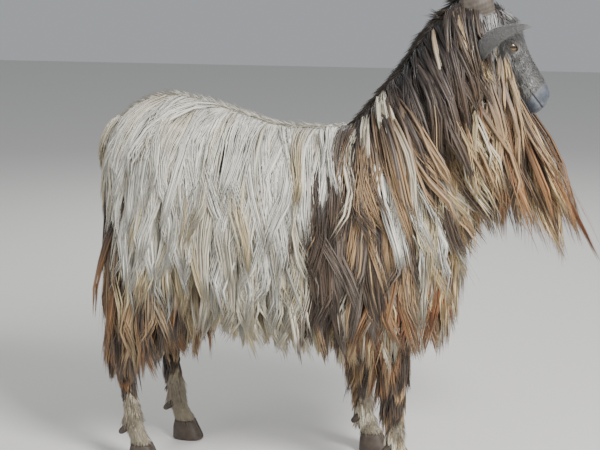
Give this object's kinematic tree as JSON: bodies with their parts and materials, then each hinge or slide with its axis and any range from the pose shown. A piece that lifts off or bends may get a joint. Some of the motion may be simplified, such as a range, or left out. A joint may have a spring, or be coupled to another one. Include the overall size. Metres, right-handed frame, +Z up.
{
  "type": "long-coated dairy goat buck",
  "caption": "Standing life-size goat buck with a long hanging coat, full beard, swept-back horns and cloven hooves.",
  "frame": {"origin": "on the floor, under the middle of the goat's bounding box", "axes": "+Z up, +X towards the head, +Y towards the goat's left side"},
  "size_m": [1.105, 0.4066, 1.3245],
  "materials": {
    "white_coat": "long silky cream hair",
    "brown_coat": "long brown and golden hair",
    "grey_fur": "short grey fur",
    "horn": "ringed satin horn",
    "hoof": "dull dark horn",
    "eye": "wet amber"
  },
  "bodies": {
    "root": {"beard": "brown_coat", "dewclaw_front_left_inner": "hoof", "dewclaw_front_left_outer": "hoof", "dewclaw_front_right_inner": "hoof", "dewclaw_front_right_outer": "hoof", "dewclaw_hind_left_inner": "hoof", "dewclaw_hind_left_outer": "hoof", "dewclaw_hind_right_inner": "hoof", "dewclaw_hind_right_outer": "hoof", "ear_left": "grey_fur", "ear_right": "grey_fur", "eye_left": "eye", "eye_right": "eye", "head": "grey_fur", "hoof_front_left_inner": "hoof", "hoof_front_left_outer": "hoof", "hoof_front_right_inner": "hoof", "hoof_front_right_outer": "hoof", "hoof_hind_left_inner": "hoof", "hoof_hind_left_outer": "hoof", "hoof_hind_right_inner": "hoof", "hoof_hind_right_outer": "hoof", "horn_left": "horn", "horn_right": "horn", "leg_front_left": "brown_coat", "leg_front_right": "brown_coat", "leg_hind_left": "brown_coat", "leg_hind_right": "brown_coat", "neck": "brown_coat", "tail": "white_coat", "torso_left": "white_coat", "torso_right": "white_coat"}
  },
  "joints": []
}
